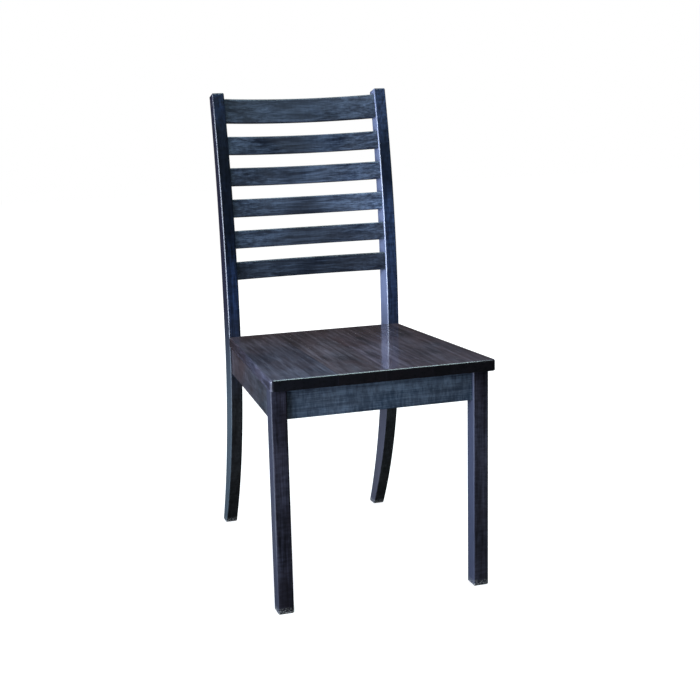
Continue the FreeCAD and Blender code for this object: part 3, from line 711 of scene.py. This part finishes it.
def plated_steel(name):
    """Zinc plating with cloudy colour and uneven polish."""
    material, tree, output = empty_material(name)
    place = add(tree, "ShaderNodeTexCoord")
    noise = add(tree, "ShaderNodeTexNoise", {"Scale": ZINC_SPECKS, "Detail": 3.0})
    join(tree, place.outputs["Object"], noise.inputs["Vector"])
    colour = mix_colours(tree, noise.outputs["Fac"], ZINC_DARK, ZINC_LIGHT)
    shader = add(tree, "ShaderNodeBsdfPrincipled", {"Metallic": 1.0})
    join(tree, colour, shader.inputs["Base Color"])
    roughness = ramp(tree, noise.outputs["Fac"], *ZINC_SPAN, *ZINC_ROUGHNESS)
    join(tree, roughness, shader.inputs["Roughness"])
    join(tree, shader.outputs["BSDF"], output.inputs["Surface"])
    return material


zinc = plated_steel("zinc_plated_steel")
for node in screws:
    piece = make_screws("threaded_" + node, node)
    piece.data.materials.append(zinc)

# %% [markdown]
# ## Studio
# The chair stands on a pale floor that runs on into a white background. A camera ray sees the
# floor as near white with the chair's soft shadow on it, while the light that the floor sends
# back to the wood stays dim.

# %% Floor
FLOOR_HALF = 12.0
SHADE_NEAR = 0.80      # glow of the floor at the chair
FADE_START = 0.7       # distances between which the glow rises to full white
FADE_END = 2.6
FLOOR_LIT = (0.40, 0.40, 0.41, 1.0)     # colour on which the shadow shows
FLOOR_BOUNCE = (0.02, 0.02, 0.02, 1.0)  # what the floor sends back to the chair


def floor_material():
    """Near white to the camera and whiter far away; dull to the light that bounces off it.

    Glow = SHADE_NEAR up to the distance FADE_START, rising evenly to 1 at FADE_END.
    """
    material, tree, output = empty_material("pale_floor")
    path = add(tree, "ShaderNodeLightPath")
    place = add(tree, "ShaderNodeTexCoord")
    distance = add(tree, "ShaderNodeVectorMath", operation="LENGTH")
    join(tree, place.outputs["Object"], distance.inputs[0])
    seen = add(tree, "ShaderNodeEmission", {"Color": (1.0, 1.0, 1.0, 1.0)})
    glow = ramp(tree, distance.outputs["Value"], FADE_START, FADE_END, SHADE_NEAR, 1.0)
    join(tree, glow, seen.inputs["Strength"])
    lit = add(tree, "ShaderNodeBsdfDiffuse", {"Color": FLOOR_LIT})
    both = add(tree, "ShaderNodeAddShader")
    join(tree, seen.outputs[0], both.inputs[0])
    join(tree, lit.outputs[0], both.inputs[1])
    dull = add(tree, "ShaderNodeBsdfDiffuse", {"Color": FLOOR_BOUNCE})
    switch = add(tree, "ShaderNodeMixShader")
    join(tree, path.outputs["Is Camera Ray"], switch.inputs[0])
    join(tree, dull.outputs[0], switch.inputs[1])
    join(tree, both.outputs[0], switch.inputs[2])
    join(tree, switch.outputs[0], output.inputs["Surface"])
    return material


floor_mesh = bpy.data.meshes.new("studio_floor")
floor_corners = [(-FLOOR_HALF, -FLOOR_HALF, 0), (FLOOR_HALF, -FLOOR_HALF, 0),
                 (FLOOR_HALF, FLOOR_HALF, 0), (-FLOOR_HALF, FLOOR_HALF, 0)]
floor_mesh.from_pydata(floor_corners, [], [(0, 1, 2, 3)])
studio_floor = bpy.data.objects.new("studio_floor", floor_mesh)
studio_floor.data.materials.append(floor_material())
scene.collection.objects.link(studio_floor)
print("floor:", 2 * FLOOR_HALF, "metres square")

# %% [markdown]
# The background is white to the camera and dim to everything else.

# %% Background
SKY_TINT = (0.9, 0.95, 1.0, 1.0)
SKY_LIGHT = 0.02
world = bpy.data.worlds.new("studio_world")
scene.world = world
world.use_nodes = True
sky = world.node_tree
sky.nodes.clear()
path = add(sky, "ShaderNodeLightPath")
white = add(sky, "ShaderNodeBackground", {"Color": (1.0, 1.0, 1.0, 1.0), "Strength": 1.0})
dim = add(sky, "ShaderNodeBackground", {"Color": SKY_TINT, "Strength": SKY_LIGHT})
choose = add(sky, "ShaderNodeMixShader")
join(sky, path.outputs["Is Camera Ray"], choose.inputs[0])
join(sky, dim.outputs[0], choose.inputs[1])
join(sky, white.outputs[0], choose.inputs[2])
join(sky, choose.outputs[0], add(sky, "ShaderNodeOutputWorld").inputs["Surface"])
print("background nodes:", len(sky.nodes))

# %% [markdown]
# ## Lamps
# A large cool lamp on the left lights the outer faces, one overhead lights the seat, and weak
# ones fill the front, the right side and the back. The lacquer mirrors only the left lamp, a
# smaller arris lamp high up on the front right, and a low card beside the chair. These three
# draw the highlights, and the others light the wood without washing it out.

# %% Lamps
COOL = (0.72, 0.82, 1.0)
TEAL = (0.72, 0.98, 1.0)
PALE_TEAL = (0.90, 1.0, 1.0)
WHITE = (1.0, 1.0, 1.0)

# Place, target, width and height, watts, colour, and whether the lacquer mirrors it
LAMPS = {
    "left_lamp": ((-2.3, -0.75, 0.85), (0, -0.1, 0.8), (1.2, 1.5), 130, COOL, True),
    "top_lamp": ((0.35, 0.5, 2.9), (0.1, 0, 0.5), (1.6, 1.8), 56, PALE_TEAL, False),
    "arris_lamp": ((0.6, -0.72, 2.9), (0.6, -0.72, 0.0), (1.4, 0.85), 64, TEAL, True),
    "floor_card": ((-1.3, -0.6, 0.01), (-1.3, -0.6, 1.0), (1.7, 1.4), 14, COOL, True),
    "front_lamp": ((-1.2, -3.4, 2.2), (0, 0, 0.5), (1.4, 1.4), 18, WHITE, False),
    "right_lamp": ((2.4, 0.5, 1.2), (0, 0, 0.6), (1.4, 1.4), 16, WHITE, False),
    "back_lamp": ((0.8, 3.2, 1.5), (0, 0, 0.6), (1.4, 1.4), 30, WHITE, False),
}


def soft_lamp(name, place, target, size, power, colour, mirrored):
    """Rectangular lamp at a place, facing a target and hidden from the camera."""
    data = bpy.data.lights.new(name, "AREA")
    data.shape = "RECTANGLE"
    data.size, data.size_y = size
    data.energy = power
    data.color = colour
    lamp = bpy.data.objects.new(name, data)
    lamp.visible_camera = False
    lamp.visible_glossy = mirrored
    facing = Vector(target) - Vector(place)
    turn = facing.to_track_quat("-Z", "Y").to_matrix().to_4x4()
    lamp.matrix_world = Matrix.Translation(place) @ turn
    scene.collection.objects.link(lamp)


for name, settings in LAMPS.items():
    soft_lamp(name, *settings)

# %% [markdown]
# ## Finish
# The picture keeps colours as they are written.

# %% Colours as written
scene.view_settings.view_transform = "Standard"
